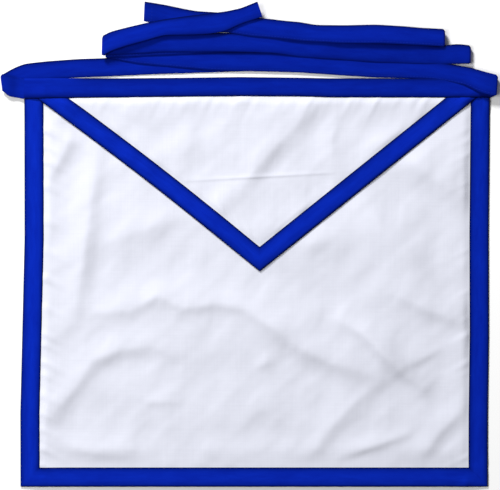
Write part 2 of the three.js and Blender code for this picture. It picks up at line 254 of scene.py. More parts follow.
def inside_flap(x, y):
    """How far a place lies inside the flap's free edges, or outside them if negative."""
    rise = y - flap_point[1]
    run = x - flap_point[0]
    from_left = rise * math.cos(left_slope) + run * math.sin(left_slope) - left_bow(y)
    from_right = rise * math.cos(right_slope) - run * math.sin(right_slope)
    return np.minimum(from_left, from_right)


pucker_height = 1.6
pucker_length = 13
pucker_reach = 9
pucker_slant = 0.5
pucker_gap = 0.1
panel_swells = [(0.8, 80, 3), (0.3, 26, 4), (0.06, 11, 6)]  # height, length and seed
flat_strips = (7, 7, 18, 7)  # how wide the folds fade towards the left, right, bottom and top tapes
pucker_shares = (1.3, 1.3, 0.4, 1)
pucker_seeds = (11, 12, 13, 14)
folds_under_flap = 0.25  # the share of their height that the body's folds keep there
# Where the body comes down off the left tie's first run: between these tape widths below its top
# edge, and between these shares of its width from its middle
off_tie_down = (0.4, 3)
off_tie_right = (-0.385, -0.26)


def puckers(along, off_seam, seed):
    """Small slanting gathers that sewing leaves here and there beside a seam."""
    slanting = along + pucker_slant * off_seam
    gathers = np.maximum(0, waves(slanting, 0 * slanting, pucker_length, seed) - pucker_gap)
    fading = np.exp(-np.maximum(off_seam, 0) / pucker_reach)
    return pucker_height * gathers * smooth(off_seam, 0, 3) * fading


def panel_height(x, y):
    """The middle of the body's cloth over the table: higher in the tapes, over the left tie's first
    run, and in its folds, swells and puckers."""
    insets = [x - side_x(-1, y), side_x(1, y) - x, y, apron_height - y]
    ramp_start = tape_width + 1
    open_share = 1
    fold_share = 1
    for inset, flat_strip in zip(insets, flat_strips):
        open_share = open_share * smooth(inset, ramp_start, ramp_start + ramp_length)
        fold_share = fold_share * smooth(inset, tape_width, tape_width + flat_strip)
    off_tie = smooth((apron_height - y) / tape_width, *off_tie_down)
    over_tie = (1 - off_tie) * (1 - smooth(x / apron_width, *off_tie_right))
    height = panel_on_table + (panel_in_binding - panel_on_table) * (1 - open_share) + tie_pitch * over_tie
    by_side = np.minimum(insets[0], insets[1])
    height = height + edge_tilt * np.clip(by_side / tape_width, 0, 1) * (1 - open_share)
    off_flap = smooth(-inside_flap(x, y), -4, 12)
    kept_share = folds_under_flap + (1 - folds_under_flap) * off_flap
    height = height + crest_height(panel_folds, x, y) * fold_share * kept_share
    for swell, length, seed in panel_swells:
        height = height + fold_share * swell * (1 + waves(x, y, length, seed))
    for inset, along, share, seed in zip(insets, (y, y, x, x), pucker_shares, pucker_seeds):
        height = height + share * puckers(along, inset - tape_width, seed)
    return height


def facing(grid):
    """The way straight out of a grid's front at each of its points."""
    outward = np.cross(np.gradient(grid, axis=0), np.gradient(grid, axis=1))
    return outward / np.linalg.norm(outward, axis=2, keepdims=True)


def add_piece(name, corners, faces, material):
    """A smooth mesh in place on the table, from corners in the apron's millimetres."""
    mesh = bpy.data.meshes.new(name)
    place = corners * mm + np.array([apron_middle, edge_low[1], 0])
    mesh.from_pydata(place.tolist(), [], faces)
    mesh.polygons.foreach_set("use_smooth", np.ones(len(mesh.polygons), dtype=bool))
    mesh.materials.append(material)
    piece = bpy.data.objects.new(name, mesh)
    bpy.context.collection.objects.link(piece)
    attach(piece, "root")
    return piece


rim_share = 0.8  # how far a rim stands out, of half the cloth's thickness


def cloth(name, grid, thickness, woven, material, painted_edge_shade=1):
    """A closed sheet whose middle surface runs through a grid of points, with rounded rims. woven is
    each point's place on the flat cloth, in metres along and across its threads, and the last argument
    says how strong the painted shade at a tape's edges is there."""
    rows, columns = grid.shape[:2]
    outward = facing(grid)
    half = np.broadcast_to(np.asarray(thickness) / 2, (rows, columns))[..., None]
    number = np.arange(rows * columns).reshape(rows, columns)
    ring = np.concatenate([number[:-1, 0], number[-1, :-1], number[:0:-1, -1], number[0, :0:-1]])
    ring_row, ring_column = np.divmod(ring, columns)
    inner = grid[np.clip(ring_row, 1, rows - 2), np.clip(ring_column, 1, columns - 2)]
    away = grid[ring_row, ring_column] - inner
    away /= np.linalg.norm(away, axis=1, keepdims=True)
    rim = grid[ring_row, ring_column] + away * half[ring_row, ring_column] * rim_share
    faces_apart = [(grid + outward * half).reshape(-1, 3), (grid - outward * half).reshape(-1, 3)]
    corners = np.concatenate([*faces_apart, rim])
    cell = [number[:-1, :-1], number[1:, :-1], number[1:, 1:], number[:-1, 1:]]
    cell = np.stack(cell, axis=-1).reshape(-1, 4)
    under = rows * columns
    rim_number = 2 * under + np.arange(len(ring))
    following = np.roll(np.arange(len(ring)), -1)
    upper_rim = np.stack([ring[following], ring, rim_number, rim_number[following]], axis=-1)
    lower_rim = np.stack([rim_number[following], rim_number, ring + under, ring[following] + under], axis=-1)
    faces = np.concatenate([cell, cell[:, ::-1] + under, upper_rim, lower_rim])
    piece = add_piece(name, corners, faces.tolist(), material)
    mesh = piece.data
    flat = woven.reshape(-1, 2)
    flat = np.concatenate([flat, flat, flat[ring]])
    corner_of_loop = np.empty(len(mesh.loops), dtype=np.int32)
    mesh.loops.foreach_get("vertex_index", corner_of_loop)
    flat_place = mesh.uv_layers.new(name="woven")
    flat_place.data.foreach_set("uv", flat[corner_of_loop].astype(np.float32).ravel())
    # each point's strength of the painted shade along a tape's edges, stored for the tape material
    edge_shade_values = np.broadcast_to(painted_edge_shade, (rows, columns)).ravel()
    edge_shade_values = np.concatenate([edge_shade_values, edge_shade_values, edge_shade_values[ring]]).astype(np.float32)
    mesh.attributes.new("painted_edge_shade", "FLOAT", "POINT").data.foreach_set("value", edge_shade_values)
    mesh.set_sharp_from_angle(angle=math.radians(45))
    return piece


# Bleached cotton: matt, faintly blue white, with slightly thicker threads here and there both ways
cotton = bpy.data.materials.new("bleached_plain_woven_cotton")
cotton.use_nodes = True
cotton_tree = cotton.node_tree
cotton_shader = cotton_tree.nodes["Principled BSDF"]
cotton_shader.inputs["Roughness"].default_value = 0.95
cotton_shader.inputs["Specular IOR Level"].default_value = 0.1
cotton_flat = node(cotton_tree, "ShaderNodeTexCoord").outputs["UV"]
slub_length = 45 * mm
slub_width = 0.9 * mm  # real slubs are about 0.5 mm wide, and are drawn wider so that they show
cotton_slubs = []
for slub_scale in ((1 / slub_length, 1 / slub_width, 1), (1 / slub_width, 1 / slub_length, 1)):
    slub_place = node(cotton_tree, "ShaderNodeMapping", {"Vector": cotton_flat, "Scale": slub_scale})
    slub = node(cotton_tree, "ShaderNodeTexNoise", {
        "Vector": slub_place.outputs["Vector"], "Scale": 1.0, "Detail": 2.0, "Roughness": 0.6})
    cotton_slubs.append(slub.outputs["Fac"])
cotton_both = node(cotton_tree, "ShaderNodeMath", {0: cotton_slubs[0], 1: cotton_slubs[1]}, operation="ADD")
cotton_share = node(cotton_tree, "ShaderNodeMapRange", {
    "Value": cotton_both.outputs[0], "From Min": 0.7, "From Max": 1.3}).outputs["Result"]
cotton_colour = node(cotton_tree, "ShaderNodeMix", {
    "Factor": cotton_share, 6: linear("#d5d7e3"), 7: linear("#dadce8")}, data_type="RGBA")
thread_pitch = 0.7 * mm  # real threads are about 0.35 mm apart, and are drawn coarser so that they show
wave_repeat = 0.314  # a wave texture repeats every 0.314 of its space at scale 1
cotton_threads = [
    node(cotton_tree, "ShaderNodeTexWave", {
        "Vector": cotton_flat, "Scale": wave_repeat / thread_pitch, "Distortion": 0.4, "Detail": 1.0},
         bands_direction=direction).outputs["Fac"]
    for direction in ("X", "Y")]
cotton_weave = node(cotton_tree, "ShaderNodeMath", {0: cotton_threads[0], 1: cotton_threads[1]},
                    operation="MULTIPLY")
cotton_relief = node(cotton_tree, "ShaderNodeMath", {0: cotton_share, 1: 0.4, 2: cotton_weave.outputs[0]},
                     operation="MULTIPLY_ADD")
cotton_bump = node(cotton_tree, "ShaderNodeBump", {
    "Height": cotton_relief.outputs[0], "Strength": 0.5, "Distance": 0.06 * mm})
cotton_tree.links.new(cotton_colour.outputs[2], cotton_shader.inputs["Base Color"])
cotton_tree.links.new(cotton_bump.outputs["Normal"], cotton_shader.inputs["Normal"])

panel_step = 2.0
panel_fold_inset = 1.2
panel_rows = np.linspace(0, 1, round(apron_width / panel_step))[:, None]
panel_y = np.linspace(panel_fold_inset, apron_height - panel_fold_inset, round(apron_height / panel_step))
panel_x = side_x(-1, panel_y) + panel_fold_inset + panel_rows * (apron_width - 2 * panel_fold_inset)
panel_y = np.broadcast_to(panel_y, panel_x.shape)
panel_grid = np.stack([panel_x, panel_y, panel_height(panel_x, panel_y)], axis=-1)
body_cloth = cloth("body_cloth", panel_grid, cotton_thickness, panel_grid[..., :2] * mm, cotton)
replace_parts(body_cloth, "body_panel")

# The flap is a triangle of the same cotton, sewn into the waistband and loose at its point. It was
# pressed with a fold straight across, which still shows as a thin line over a soft dent.
# Each fold's height, its half width and its crest, as places in the photograph's pixels
flap_folds = [
    (0.45, 1.7, [(187, 181), (250, 177.5), (333, 173)]),
    (2.0, 13, [(222, 209), (241, 189), (257, 166), (281, 139), (318, 101)]),
    (1.0, 8, [(338, 170), (330, 145), (337, 119)]),
    (0.9, 14, [(128, 122), (140, 100)]),
    (0.9, 14, [(182, 165), (190, 140), (186, 112)]),
    (0.9, 14, [(225, 140), (247, 103)]),
]
flap_on_panel = cotton_thickness + air / 2
tape_step = tape_thickness + air
flap_settling = 22  # how far inside its tape the flap has come down onto the panel
flap_pucker_share = 0.4
flap_swell = (0.4, 60, 5)  # height, length and seed


def below_waist(y):
    """From 1 on the open apron to 0 inside the waistband."""
    return 1 - smooth(y, waist_lower + 2, waist_lower + 9)


def flap_height(x, y):
    """Over the panel. The flap's tape passes between them, and the side tapes below its corners, but
    neither reaches far up into the waistband."""
    inside = inside_flap(x, y)
    inset = np.minimum(x - side_x(-1, y), side_x(1, y) - x)
    in_tape = smooth(inside, -5, 1) * (1 - smooth(inside, tape_width + 1, tape_width + 1 + flap_settling))
    over_border = 1 - smooth(inset, tape_width - 0.5, tape_width + 5)
    lift = tape_step * below_waist(y) * (in_tape + over_border)
    off_tape = smooth(inside, tape_width, tape_width + 5) * smooth(waist_lower - y, 0, 6)
    swell, length, seed = flap_swell
    unevenness = crest_height(flap_folds, x, y) + swell * (1 + waves(x, y, length, seed))
    from_left = (x - flap_left[0]) * math.cos(left_slope)
    gathers = puckers(from_left, inside - tape_width, 21) + puckers(x, waist_lower - y, 22)
    settled = panel_height(x, y) + flap_on_panel + lift
    return settled + off_tape * unevenness + flap_pucker_share * gathers


flap_rows = np.linspace(0, 1, 190)[:, None]
flap_fold_inset = 1.2
spread = 1 / math.tan(left_slope) + 1 / math.tan(right_slope)
fold_spread = flap_fold_inset / math.sin(left_slope) + flap_fold_inset / math.sin(right_slope)
flap_blunt = 3  # the cotton's width at the point, where it is cut blunt inside its tape
flap_lowest = flap_point[1] + (flap_blunt + fold_spread) / spread
crease_low = 258
crease_high = 276
flap_y = np.concatenate([
    np.arange(flap_lowest, crease_low, 2.0),
    np.arange(crease_low, crease_high, 0.8),
    np.linspace(crease_high, apron_height - flap_fold_inset, 40),
])
flap_rise = flap_y - flap_point[1]
reach_left = (flap_rise * math.cos(left_slope) - flap_fold_inset - left_bow(flap_y)) / math.sin(left_slope)
reach_right = (flap_rise * math.cos(right_slope) - flap_fold_inset) / math.sin(right_slope)
flap_start = np.maximum(flap_point[0] - reach_left, side_x(-1, flap_y) + flap_fold_inset)
flap_end = np.minimum(flap_point[0] + reach_right, side_x(1, flap_y) - flap_fold_inset)
flap_x = flap_start + flap_rows * (flap_end - flap_start)
flap_y = np.broadcast_to(flap_y, flap_x.shape)
flap_grid = np.stack([flap_x, flap_y, flap_height(flap_x, flap_y)], axis=-1)
flap_cloth = cloth("flap_cloth", flap_grid, cotton_thickness, flap_grid[..., :2] * mm, cotton)
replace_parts(flap_cloth, "flap_panel")

# The edge tape is one length of royal blue cotton tape, folded lengthwise round the left, bottom and
# right edges, folded into a mitre at both lower corners, and sewn through near its inner edge.
# Both ends run on under the flap and the waistband.


def edge_stations(corners, step, end_leans=(0, 0)):
    """Points close together along the outer edge of a tape, and the ways from them straight over the
    tape. These lean towards the mitre at a corner and towards the cut at a slanting end, and
    straighten out along the tape."""
    corners = [np.array(corner, dtype=float) for corner in corners]
    ways = [(end - start) / np.linalg.norm(end - start) for start, end in zip(corners, corners[1:])]
    across = [np.array([-way[1], way[0]]) for way in ways]
    mitres = [(one + two) / (1 + one @ two) for one, two in zip(across, across[1:])]
    straight_after = 3 * tape_width
    by_corner = np.array([0, 0.5, 1.2])
    off_corner = 2.4
    points = []
    inward = []
    for k, (start, end, way) in enumerate(zip(corners, corners[1:], ways)):
        length = np.linalg.norm(end - start)
        first_lean = mitres[k - 1] @ way if k > 0 else end_leans[0]
        last_lean = mitres[k] @ way if k < len(mitres) else end_leans[1]
        middle = np.linspace(off_corner, length - off_corner, round(length / step))
        places = np.concatenate([by_corner, middle, length - by_corner[::-1]])
        for place in places if k == len(ways) - 1 else places[:-1]:
            lean = first_lean * max(0, 1 - place / straight_after)
            lean = lean + last_lean * max(0, 1 - (length - place) / straight_after)
            points.append(start + way * place)
            inward.append(across[k] + way * lean)
    return np.array(points), np.array(inward)


# Across one leg of a folded tape, from its sewn edge to its fold: shares of its width, and how thick
# it is there. It is pinched at the edge and along the seam.
leg_shares = np.array([1, 0.975, 0.91, 0.84, 0.72, 0.55, 0.38, 0.24, 0.15])
leg_thickness = np.array([0.85, 1.0, 0.8, 1.0, 1.0, 1.0, 1.0, 1.0, 1.0])
seam_column = 2
fold_turns = np.linspace(0, math.pi, 9)


def folded_tape(near, far, thickness, fold_reach):
    """A tape folded lengthwise, as a grid: a front leg from the near edge to the fold along the far
    edge, and a back leg. It gives the points between both edges, how far in front each lies from -1
    to 1, and how much the tape bulges there."""
    width = np.linalg.norm(near - far, axis=-1)[:, None]
    turn = fold_turns[None]
    leg = leg_shares[None] * width
    fold = thickness / 2 + fold_reach * (1 - np.sin(turn)) + 0 * width
    inset = np.concatenate([leg, fold, leg[:, ::-1]], axis=1)
    front = np.concatenate([np.ones(leg.shape), np.cos(turn) + 0 * width, -np.ones(leg.shape)], axis=1)
    share = inset / width
    bulge = (1 - np.abs(2 * share - 1) ** 3) * front
    return far[:, None] + (near - far)[:, None] * share[..., None], front, bulge


folded_width = 17  # from the sewn edge to the fold, over the tape's own curve
tape_bulge = 0.3
binding_fold_reach = 1.5  # how deep the turn of the fold is


def distances(points):
    """How far along its line each point lies."""
    return np.concatenate([[0], np.cumsum(np.linalg.norm(np.diff(points, axis=0), axis=1))])


def woven_place(grid):
    """Each point's place on the flat tape: how far along it and how far across it, in metres."""
    along = distances(grid[:, grid.shape[1] // 4])
    across = distances(grid[len(grid) // 2])
    across = across * 2 * folded_width / across[-1]
    return np.stack(np.meshgrid(along, across, indexing="ij"), axis=-1) * mm


def column_thickness(thickness):
    fold = np.ones(len(fold_turns))
    return thickness * np.concatenate([leg_thickness, fold, leg_thickness[::-1]])


def bound_tape(name, stations, front, back, thickness, material, painted_edge_shade=lambda x, y: 1):
    """A folded tape that lies round an edge, between a front and a back height at each place."""
    points, inward = stations
    inner = points + inward * binding_width
    level = np.zeros((len(points), 1))
    base, leg, bulge = folded_tape(
        np.hstack([inner, level]), np.hstack([points, level]), thickness, binding_fold_reach)
    x = base[..., 0]
    y = base[..., 1]
    upper = front(x, y) + tape_bulge * np.maximum(bulge, 0)
    lower = back(x, y)
    grid = np.stack([x, y, (upper + lower) / 2 + (upper - lower) / 2 * leg], axis=-1)
    piece = cloth(name, grid, column_thickness(thickness), woven_place(grid), material, painted_edge_shade(x, y))
    return piece, grid


edge_shade = 1.9 * mm  # over this distance the shade of an edge fades to about a third
tape_pitch = 0.6 * mm  # real threads are about 0.3 mm apart, and are drawn coarser so that they show
streak_length = 26 * mm
streak_width = 5 * mm


# Dyed cotton tape: deep royal blue, matt and plain-woven, with faint streaks along it. Its sewn edge
# and its fold carry painted shade, a navy darkening that fades inward from each edge.
def woven_tape(name, dark, light):
    material = bpy.data.materials.new(name)
    material.use_nodes = True
    tree = material.node_tree
    shader = tree.nodes["Principled BSDF"]
    shader.inputs["Roughness"].default_value = 0.95
    shader.inputs["Specular IOR Level"].default_value = 0.02
    flat = node(tree, "ShaderNodeTexCoord").outputs["UV"]
    threads = [
        node(tree, "ShaderNodeTexWave", {
            "Vector": flat, "Scale": wave_repeat / tape_pitch, "Distortion": 0.6, "Detail": 1.0},
             bands_direction=direction).outputs["Fac"]
        for direction in ("X", "Y")]
    weave = node(tree, "ShaderNodeMath", {0: threads[0], 1: threads[1]}, operation="MULTIPLY").outputs[0]
    stretched = node(tree, "ShaderNodeMapping", {
        "Vector": flat, "Scale": (1 / streak_length, 1 / streak_width, 1)}).outputs["Vector"]
    streaks = node(tree, "ShaderNodeTexNoise", {
        "Vector": stretched, "Scale": 1.0, "Detail": 6.0, "Roughness": 0.7}).outputs["Fac"]
    uneven = node(tree, "ShaderNodeMath", {0: weave, 1: 0.35, 2: streaks}, operation="MULTIPLY_ADD")
    share = node(tree, "ShaderNodeMapRange", {
        "Value": uneven.outputs[0], "From Min": 0.35, "From Max": 0.85}).outputs["Result"]
    colour = node(tree, "ShaderNodeMix", {
        "Factor": share, 6: linear(dark), 7: linear(light)}, data_type="RGBA")
    # Painted shade: the colour is mixed towards navy near the sewn edges and the fold, as strongly as each
    # point's stored edge-shade strength allows
    across = node(tree, "ShaderNodeSeparateXYZ", {"Vector": flat}).outputs["Y"]
    off_edge = node(tree, "ShaderNodeMath", {0: across, 1: folded_width / 2 * mm}, operation="PINGPONG")
    fading = node(tree, "ShaderNodeMath", {0: off_edge.outputs[0], 1: -1 / edge_shade}, operation="MULTIPLY")
    by_edge = node(tree, "ShaderNodeMath", {0: fading.outputs[0]}, operation="EXPONENT")
    painted_edge_shade = node(tree, "ShaderNodeAttribute", attribute_name="painted_edge_shade").outputs["Fac"]
    shade = node(tree, "ShaderNodeMath", {0: by_edge.outputs[0], 1: painted_edge_shade}, operation="MULTIPLY")
    shaded = node(tree, "ShaderNodeMix", {
        "Factor": shade.outputs[0], 6: colour.outputs[2], 7: linear("#01041c")}, data_type="RGBA")
    bump = node(tree, "ShaderNodeBump", {"Height": weave, "Strength": 0.6, "Distance": 0.08 * mm})
    tree.links.new(shaded.outputs[2], shader.inputs["Base Color"])
    tree.links.new(bump.outputs["Normal"], shader.inputs["Normal"])
    return material


binding_cloth = woven_tape("dyed_bias_binding", "#051f9c", "#092bb4")
waist_cloth = woven_tape("dyed_woven_tape", "#041987", "#06239e")

# Polyester sewing thread in the tape's own blue, with a slight shine where it crosses a stitch
sewing_thread = bpy.data.materials.new("spun_polyester_thread")
sewing_thread.use_nodes = True
thread_tree = sewing_thread.node_tree
thread_shader = thread_tree.nodes["Principled BSDF"]
thread_shader.inputs["Roughness"].default_value = 0.6
thread_shader.inputs["Specular IOR Level"].default_value = 0.1
thread_place = node(thread_tree, "ShaderNodeTexCoord").outputs["Object"]
thread_twist = node(thread_tree, "ShaderNodeTexNoise", {
    "Vector": thread_place, "Scale": 1 / (0.5 * mm), "Detail": 2.0}).outputs["Fac"]
thread_colour = node(thread_tree, "ShaderNodeMix", {
    "Factor": thread_twist, 6: linear("#061f8c"), 7: linear("#0e2fb0")}, data_type="RGBA")
thread_tree.links.new(thread_colour.outputs[2], thread_shader.inputs["Base Color"])

stitch_pitch = 2.8
stitch_length = 2.2
thread_radius = 0.17
thread_sides = 5
# A stitch's rings: their place along it from -1 to 1, their share of the thread's radius and how far
# they stand out of the tape
stitch_rings = [(-1, 0.4, -0.12), (-0.6, 0.9, 0.02), (0, 1, 0.08), (0.6, 0.9, 0.02), (1, 0.4, -0.12)]


def between(values, passed, places):
    """The values at places between the points of a line, which lie as far along it as passed says."""
    return np.stack([np.interp(places, passed, values[:, k]) for k in range(3)], axis=-1)


def stitches(name, lines):
    """Rows of straight stitches. Each line is the points that a row follows and the ways outward."""
    corners = []
    count = 0
    for points, outward in lines:
        passed = distances(points)
        centres = np.arange(stitch_pitch, passed[-1] - stitch_pitch, stitch_pitch)
        up = between(outward, passed, centres)
        up /= np.linalg.norm(up, axis=1, keepdims=True)
        way = between(points, passed, centres + 0.5) - between(points, passed, centres - 0.5)
        way /= np.linalg.norm(way, axis=1, keepdims=True)
        beside = np.cross(up, way)
        row = []
        for place, share, rise in stitch_rings:
            centre = between(points, passed, centres + place * stitch_length / 2) + up * rise
            for turn in np.arange(thread_sides) * 2 * math.pi / thread_sides:
                off_centre = up * math.sin(turn) + beside * math.cos(turn)
                row.append(centre + thread_radius * share * off_centre)
        corners.append(np.stack(row, axis=1).reshape(-1, 3))
        count += len(centres)
    quads = []
    for start in range(0, (len(stitch_rings) - 1) * thread_sides, thread_sides):
        for side in range(thread_sides):
            corner = start + side
            after = start + (side + 1) % thread_sides
            quads.append([corner, after, after + thread_sides, corner + thread_sides])
    size = len(stitch_rings) * thread_sides
    starts = np.arange(count) * size
    faces = (np.array(quads)[None] + starts[:, None, None]).reshape(-1, 4).tolist()
    for start in starts.tolist():
        faces.append(list(range(start, start + thread_sides))[::-1])
        faces.append(list(range(start + size - thread_sides, start + size)))
    piece = add_piece(name, np.concatenate(corners), faces, sewing_thread)
    return piece


def both_seams(grid, thickness):
    """Where the rows of stitches lie on a tape's front and back, and the ways outward there."""
    outward = facing(grid)
    face = grid + outward * thickness * leg_thickness[seam_column] / 2
    return [(face[:, column], outward[:, column]) for column in (seam_column, -1 - seam_column)]


mitre_rise = 0.45
mitre_edge = (0.1, 0.7)  # how far past the diagonal the upper layer rises
mitre_fade = (7, 12)  # and where it has sunk again
tape_off_cotton = (cotton_thickness + tape_thickness) / 2 + air  # from one's middle to the other's
mitre_corner = np.array([side_x(1, apron_bottom), apron_bottom])


def mitre_step(x, y):
    """The right lower corner's tape is folded over itself along the diagonal."""
    across = ((mitre_corner[0] - x) - (y - mitre_corner[1])) / 2 ** 0.5
    close = (mitre_corner[0] - x < tape_width + 2) & (y < tape_width + 2)
    return mitre_rise * smooth(-across, *mitre_edge) * (1 - smooth(-across, *mitre_fade)) * close


def edge_front(x, y):
    return panel_height(x, y) + tape_off_cotton + mitre_step(x, y)


def edge_back(x, y):
    return panel_height(x, y) - tape_off_cotton


edge_top = waist_lower + 3.5
left_bends = [from_photo(*pixel) for pixel in left_side[1:-1]]
right_bends = [from_photo(*pixel) for pixel in right_side[-2:0:-1]]
left_corner = (side_x(-1, apron_bottom), apron_bottom)
edge_corners = [(side_x(-1, edge_top), edge_top), *left_bends, left_corner, mitre_corner, *right_bends,
                (side_x(1, edge_top), edge_top)]
edge_tape, edge_grid = bound_tape(
    "edge_tape", edge_stations(edge_corners, 2.2), edge_front, edge_back, tape_thickness, binding_cloth)
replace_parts(edge_tape, "edge_binding")
stitches("edge_stitches", both_seams(edge_grid, tape_thickness))

# The flap's tape is folded round the flap's two free edges and mitred at its point. Its ends lie over
# the side tapes and run in under the waistband.


def flap_front(x, y):
    return flap_height(x, y) + tape_off_cotton


def flap_back(x, y):
    return flap_height(x, y) - tape_off_cotton


tucked_in = 3.5
flap_corners = [corner + (corner - flap_point) * tucked_in / (waist_lower - flap_point[1])
                for corner in (flap_left, flap_right)]
flap_end_leans = (1 / math.tan(left_slope), -1 / math.tan(right_slope))
flap_points, flap_inward = edge_stations([flap_corners[0], flap_point, flap_corners[1]], 2.0, flap_end_leans)
on_left = (flap_points[:, 0] < flap_point[0])[:, None]
inward_left = np.array([math.sin(left_slope), math.cos(left_slope)])
flap_points = flap_points + left_bow(flap_points[:, 1:]) * inward_left * on_left
flap_tape, flap_tape_grid = bound_tape(
    "flap_tape", (flap_points, flap_inward), flap_front, flap_back, tape_thickness, binding_cloth)
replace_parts(flap_tape, "flap_binding")
stitches("flap_stitches", both_seams(flap_tape_grid, tape_thickness))

# The waistband and both ties are one length of the same tape, folded lengthwise over the apron's top
# edge and sewn together along its open edge, which leaves the ties two layers thick.


def waist_front(x, y):
    """Over the flap, and over the flap's tape where that runs in under the waistband."""
    inside = inside_flap(x, y)
    over_flap_tape = smooth(inside, -4, 2) * (1 - smooth(inside, tape_width - 2, tape_width + 6))
    return flap_height(x, y) + tape_off_cotton + tape_step * over_flap_tape * below_waist(y)


# The waistband's fold and its seam, from left to right, as places in the photograph's pixels
waist_fold = [(20, 78.6), (120, 78.5), (180, 78), (240, 77.2), (300, 77.9), (330, 78.5), (492, 78.5)]
waist_seam = [(20, 99.1), (90, 97.9), (150, 97.1), (240, 96.2), (300, 96.5), (330, 97.4), (492, 97.7)]


def waist_edge(pixels, x):
    """How high a traced edge of the waistband lies on the apron."""
    traced = np.array([from_photo(*pixel) for pixel in pixels])
    return np.interp(x, traced[:, 0], traced[:, 1])


def waist_edge_shade(x, y):
    """The painted shade along the fold is left out at the left end, where it lies flat on the tie."""
    return np.where(y < apron_height - tape_width / 2, 1, smooth(x / apron_width, -0.41, -0.36))


waist_ends = [(side_x(side, apron_height), apron_height) for side in (1, -1)]
waist_points, waist_inward = edge_stations(waist_ends, 2.2)
waist_points[:, 1] = waist_edge(waist_fold, waist_points[:, 0])
waist_inward[:, 1] = (waist_edge(waist_seam, waist_points[:, 0]) - waist_points[:, 1]) / binding_width
waist_tape, waist_grid = bound_tape(
    "waist_tape", (waist_points, waist_inward), waist_front, edge_back, tape_thickness, waist_cloth,
    waist_edge_shade)
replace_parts(waist_tape, "waistband")
stitches("waist_stitches", both_seams(waist_grid, tape_thickness))

# Each tie leaves its end of the waistband, turns over, and is folded back and forth in three runs
# above it. Both ties lie loose, and are lifted in places where they cross and turn.
tie_layer_thickness = 0.34
tie_half = 0.2  # from the middle of a tie to the middle of each of its two layers
tie_lowest = 0.58  # the height of the middle of a tie that lies on the table
tie_step = 2.2
tie_fold_reach = 1.1
tie_unevenness = 0.1
tie_seeds = {-1: 30, 1: 32}
easing_passes = 4
fold_bulge = 1.6
fold_pulls = (0.5, -1.8)  # how far the near and the far corner are drawn along the fold
fold_steps = 11
root_taper = 8  # over this length a tie thins from the waistband's thickness
# A tie's edges carry the tape's painted edge shade: faint at the waistband, in full further on, and weaker
# along the sewn edge than along the fold
root_edge_shade = 0.3  # how dark a tie's edges are at the waistband
root_darkening = (8, 32)  # the stretch from there over which they darken in full
sewn_lightness = 0.65  # how far the sewn edges stay lighter than the fold
sewn_lightening = 12  # the length over which they become so
hem_length = 9
hem_seam = 7.5  # from a tie's end
hem_swelling = 0.16
hem_thickening = 0.35

# A run is a list of places, in the order in which the tie passes them. A row holds x, the near edge's
# place from the apron's middle as a share of the apron's width; lean, how far right of the near edge
# the far one lies; rise, how far the near edge lies above the apron's top edge; span, how far the far
# edge lies above the near one, these three in tape widths; layer, the near edge's layer; and tip, how
# many layers higher the far edge lies.
left_runs = [
    [
        (-0.508, 0, -1.10, 1.09, 1.2, 0),
        (-0.515, 0, -1.07, 1.09, 1.0, 0.2),
        (-0.524, 0, -1.04, 1.11, 1.6, 1.7),
        (-0.532, 0, -1.02, 1.14, 2.2, 2.5),
        (-0.540, -0.04, -0.98, 1.15, 2.3, 2.4),
        (-0.545, -0.08, -0.74, 0.94, 2.2, 2.0),
    ],
    [
        (-0.545, -0.08, -0.74, 0.94, 0.4, 0),
        (-0.527, 0, -0.53, 1.05, 0, 0),
        (-0.5025, 0, -0.26, 1.04, 0, 0),
        (-0.458, 0, -0.09, 1.00, 0, 0),
        (-0.389, 0, 0.04, 1.00, 0, 0),
        (-0.330, 0, 0.09, 1.00, 0, 0),
        (-0.232, 0, 0.21, 1.00, 0, 0),
        (-0.064, 0, 0.35, 1.00, 0, 0),
        (0.091, 0, 0.48, 1.00, 0, 0),
        (0.259, 0, 0.64, 1.00, 0, 0),
        (0.402, 0, 0.79, 1.00, 0, 0),
        (0.430, 0, 0.78, 1.06, 0, 0),
        (0.4535, 0.02, 0.79, 0.98, 0, 0),
    ],
    [
        (0.4535, 0.02, 0.79, 0.98, 3.4, 0),
        (0.430, 0, 0.78, 1.07, 2.6, 0.7),
        (0.387, 0, 0.76, 0.96, 1.7, 1.8),
        (0.345, 0, 0.78, 1.09, 1.6, 2.1),
        (0.259, 0, 0.86, 1.07, 1.6, 2.1),
        (0.091, 0, 1.16, 1.06, 1.7, 1.6),
        (0.032, 0, 1.37, 1.05, 2.4, 0.8),
        (-0.064, 0, 1.44, 1.00, 2.8, 0.8),
        (-0.209, 0, 1.42, 0.97, 2.8, 1.3),
        (-0.330, -0.03, 1.22, 1.07, 2.9, 0.6),
    ],
    [
        (-0.330, -0.03, 1.22, 1.07, 5.2, -0.6),
        (-0.318, 0, 1.42, 1.07, 6.0, -1.6),
        (-0.278, 0, 1.75, 1.00, 6.7, -2.3),
        (-0.241, 0, 2.00, 0.97, 6.7, -2.1),
        (-0.200, 0, 2.31, 0.86, 6.4, -1.2),
        (-0.145, 0, 2.33, 1.03, 6.1, -0.6),
        (-0.102, 0, 2.38, 1.11, 6.0, -0.4),
        (-0.069, 0, 2.53, 1.06, 5.9, -0.3),
        (-0.037, 0, 2.92, 0.84, 5.8, 0),
        (0.010, -0.27, 3.31, 0.82, 5.6, 0),
    ],
]
